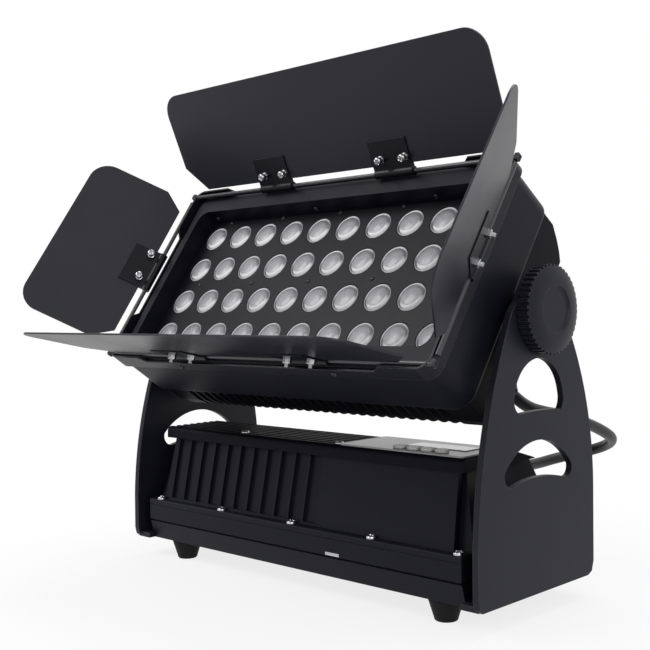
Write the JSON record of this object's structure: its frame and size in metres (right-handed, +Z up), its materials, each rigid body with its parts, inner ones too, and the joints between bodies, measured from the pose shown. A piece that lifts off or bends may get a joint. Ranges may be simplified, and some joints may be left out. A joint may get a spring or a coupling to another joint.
{
  "type": "led wash light",
  "caption": "Tilting LED wash light with a rectangular lens field, four hinged barn doors, side arms with knobs and a driver base.",
  "frame": {"origin": "centre of the clamp bracket hole pattern in the underside of the base pan", "axes": "+X along the tilt axis, to the right seen from the lit front with +Z up; -Y towards the lit front; +Z up"},
  "size_m": [0.5158, 0.4095, 0.453],
  "materials": {
    "housing_metal": "fine textured black powder coat on cast aluminium",
    "sheet_metal": "satin black powder coat on aluminium sheet",
    "arm_metal": "satin black powder coat on aluminium plate",
    "rod_steel": "blackened steel",
    "bolt_steel": "bright zinc plated steel",
    "foot_rubber": "matte black rubber",
    "cable_rubber": "satin black rubber sheath",
    "knob_plastic": "matte black moulded plastic",
    "connector_plastic": "matte black moulded plastic",
    "panel_film": "satin dark grey film",
    "window_plastic": "glossy dark window",
    "button_plastic": "light grey moulded plastic",
    "plate_metal": "dark grey painted sheet",
    "lens_clear": "clear moulded lens",
    "board_laminate": "circuit board laminate",
    "chip_plastic": "pale emitter package"
  },
  "bodies": {
    "base": {"base_pan": "sheet_metal", "rubber_feet": "foot_rubber", "driver_housing": "housing_metal", "driver_lid": "housing_metal", "control_panel": "panel_film", "display_window": "window_plastic", "control_board": "board_laminate", "power_supply": "plate_metal", "side_arm_left": "arm_metal", "side_arm_right": "arm_metal", "power_input": "connector_plastic", "power_output": "connector_plastic", "data_input": "connector_plastic", "data_output": "connector_plastic", "base_gland": "connector_plastic", "interconnect_cable": "cable_rubber"},
    "head": {"head_housing": "housing_metal", "front_bezel": "housing_metal", "lens_plate": "plate_metal", "lenses": "lens_clear", "led_chips": "chip_plastic", "led_board": "board_laminate", "heat_sink": "housing_metal", "door_frame": "sheet_metal", "rod_top": "rod_steel", "rod_bottom": "rod_steel", "rod_left": "rod_steel", "rod_right": "rod_steel", "rod_corners": "sheet_metal", "head_gland": "connector_plastic", "pivot_stud_left": "bolt_steel", "pivot_stud_right": "bolt_steel"},
    "knob_left": {"knob_left": "knob_plastic"},
    "knob_right": {"knob_right": "knob_plastic"},
    "door_top": {"door_top": "sheet_metal", "door_clips_top": "sheet_metal"},
    "door_bottom": {"door_bottom": "sheet_metal", "door_clips_bottom": "sheet_metal"},
    "door_left": {"door_left": "sheet_metal", "door_clips_left": "sheet_metal"},
    "door_right": {"door_right": "sheet_metal", "door_clips_right": "sheet_metal"},
    "button_mode": {"button_mode": "button_plastic"},
    "button_down": {"button_down": "button_plastic"},
    "button_up": {"button_up": "button_plastic"},
    "button_enter": {"button_enter": "button_plastic"}
  },
  "joints": [
    {"name": "head_tilt", "type": "hinge", "parent": "base", "child": "head", "pos_m": [0, 0.002, 0.2195], "axis": [-1, 0, 0], "range_deg": [-25, 45], "deforming": ["interconnect_cable"]},
    {"name": "knob_left_turn", "type": "hinge", "parent": "head", "child": "knob_left", "pos_m": [-0.21, 0.002, 0.2195], "axis": [-1, 0, 0], "continuous": true},
    {"name": "knob_right_turn", "type": "hinge", "parent": "head", "child": "knob_right", "pos_m": [0.21, 0.002, 0.2195], "axis": [1, 0, 0], "continuous": true},
    {"name": "door_top_hinge", "type": "hinge", "parent": "head", "child": "door_top", "pos_m": [0, -0.00871, 0.33757], "axis": [1, 0, 0], "range_deg": [-55.8, 30.2]},
    {"name": "door_bottom_hinge", "type": "hinge", "parent": "head", "child": "door_bottom", "pos_m": [0, -0.11638, 0.18345], "axis": [-1, 0, 0], "range_deg": [-65.5, 20.5]},
    {"name": "door_left_hinge", "type": "hinge", "parent": "head", "child": "door_left", "pos_m": [-0.197, -0.06255, 0.26051], "axis": [0, 0.5727, 0.8198], "range_deg": [-48.4, 37.6]},
    {"name": "door_right_hinge", "type": "hinge", "parent": "head", "child": "door_right", "pos_m": [0.197, -0.06255, 0.26051], "axis": [0, -0.5727, -0.8198], "range_deg": [-57.3, 28.7]},
    {"name": "button_mode_press", "type": "slide", "parent": "base", "child": "button_mode", "axis": [0, 0, -1], "range_m": [0, 0.001], "stiffness_N_per_m": 400, "springref_m": -0.0005},
    {"name": "button_down_press", "type": "slide", "parent": "base", "child": "button_down", "axis": [0, 0, -1], "range_m": [0, 0.001], "stiffness_N_per_m": 400, "springref_m": -0.0005},
    {"name": "button_up_press", "type": "slide", "parent": "base", "child": "button_up", "axis": [0, 0, -1], "range_m": [0, 0.001], "stiffness_N_per_m": 400, "springref_m": -0.0005},
    {"name": "button_enter_press", "type": "slide", "parent": "base", "child": "button_enter", "axis": [0, 0, -1], "range_m": [0, 0.001], "stiffness_N_per_m": 400, "springref_m": -0.0005}
  ]
}
